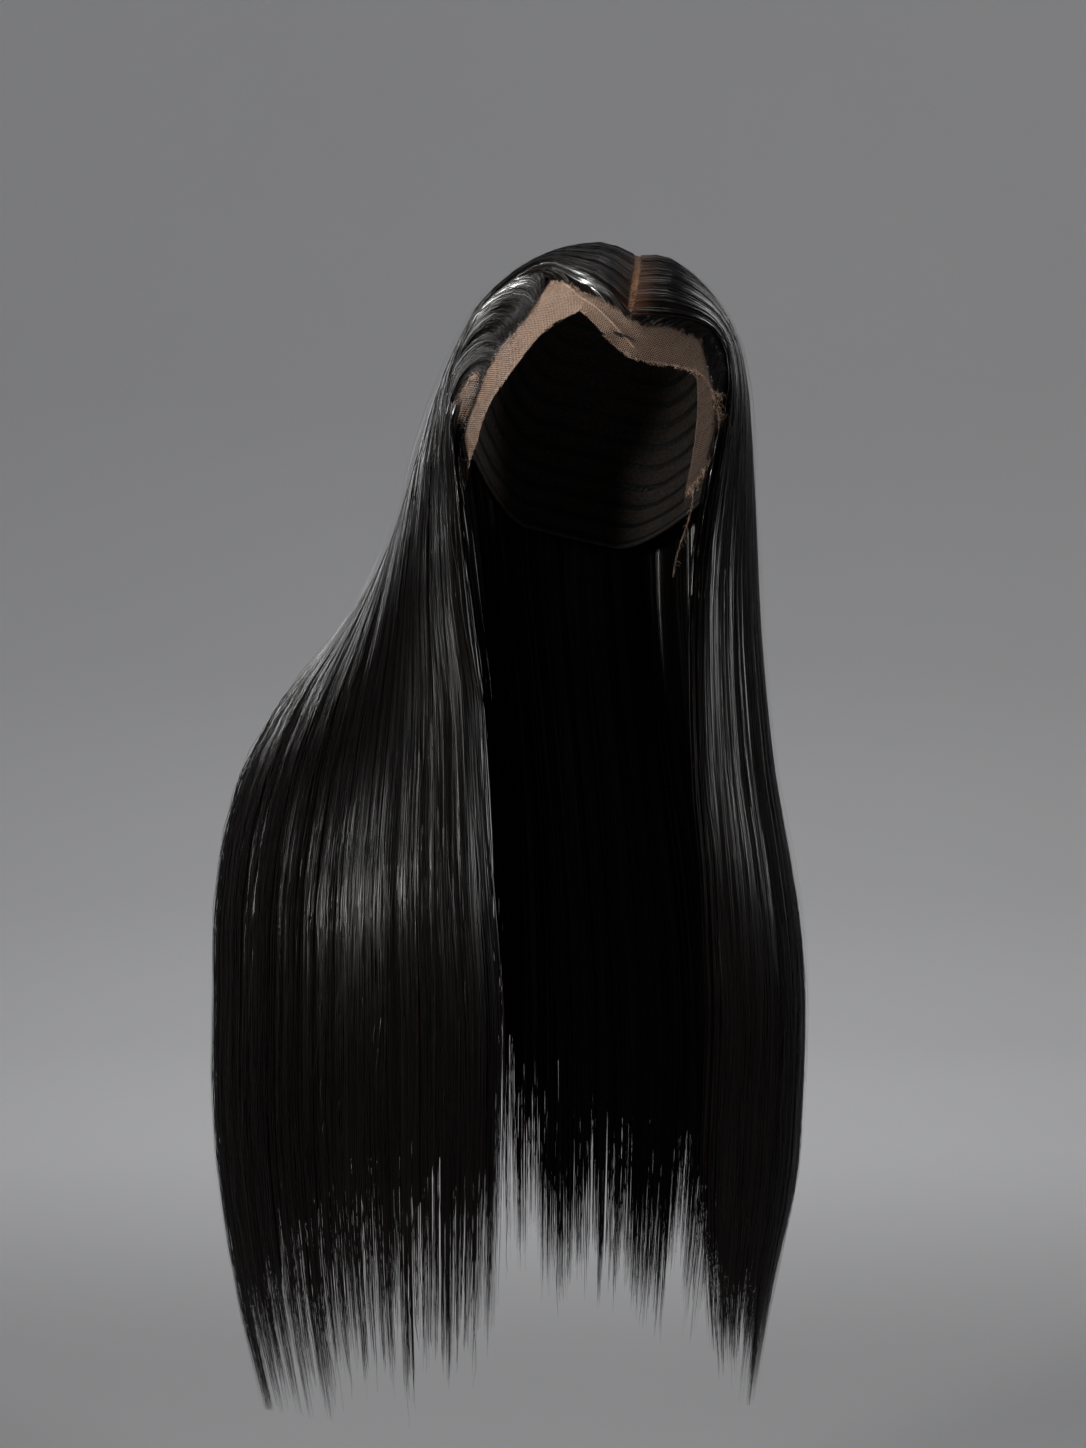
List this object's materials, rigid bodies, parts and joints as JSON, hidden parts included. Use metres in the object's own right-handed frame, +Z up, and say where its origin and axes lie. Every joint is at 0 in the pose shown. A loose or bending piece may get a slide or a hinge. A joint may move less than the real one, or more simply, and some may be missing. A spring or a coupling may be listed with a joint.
{
  "type": "lace front wig",
  "caption": "Lace front wig with very long straight near-black hair, a centre part and untrimmed lace at the hairline.",
  "frame": {"origin": "middle of the head hollow, where the wig sits on a head", "axes": "+Z up, along the hanging hair; -Y towards the face opening; +X to the wearer's left, the side the head leans to"},
  "size_m": [0.3352, 0.223, 0.6605],
  "materials": {
    "cap_net": "dark stretch net with sewn weft rows",
    "lace": "fine tan net, hexagonal, sheer",
    "hair": "smooth glossy near-black hair, straight"
  },
  "bodies": {
    "root": {"cap": "cap_net", "lace_front": "lace", "top_hair_left": "hair", "top_hair_right": "hair", "top_hair_back": "hair", "temple_hair_left": "hair", "temple_hair_right": "hair", "side_fall_left": "hair", "side_fall_right": "hair", "back_fall": "hair"}
  },
  "joints": []
}
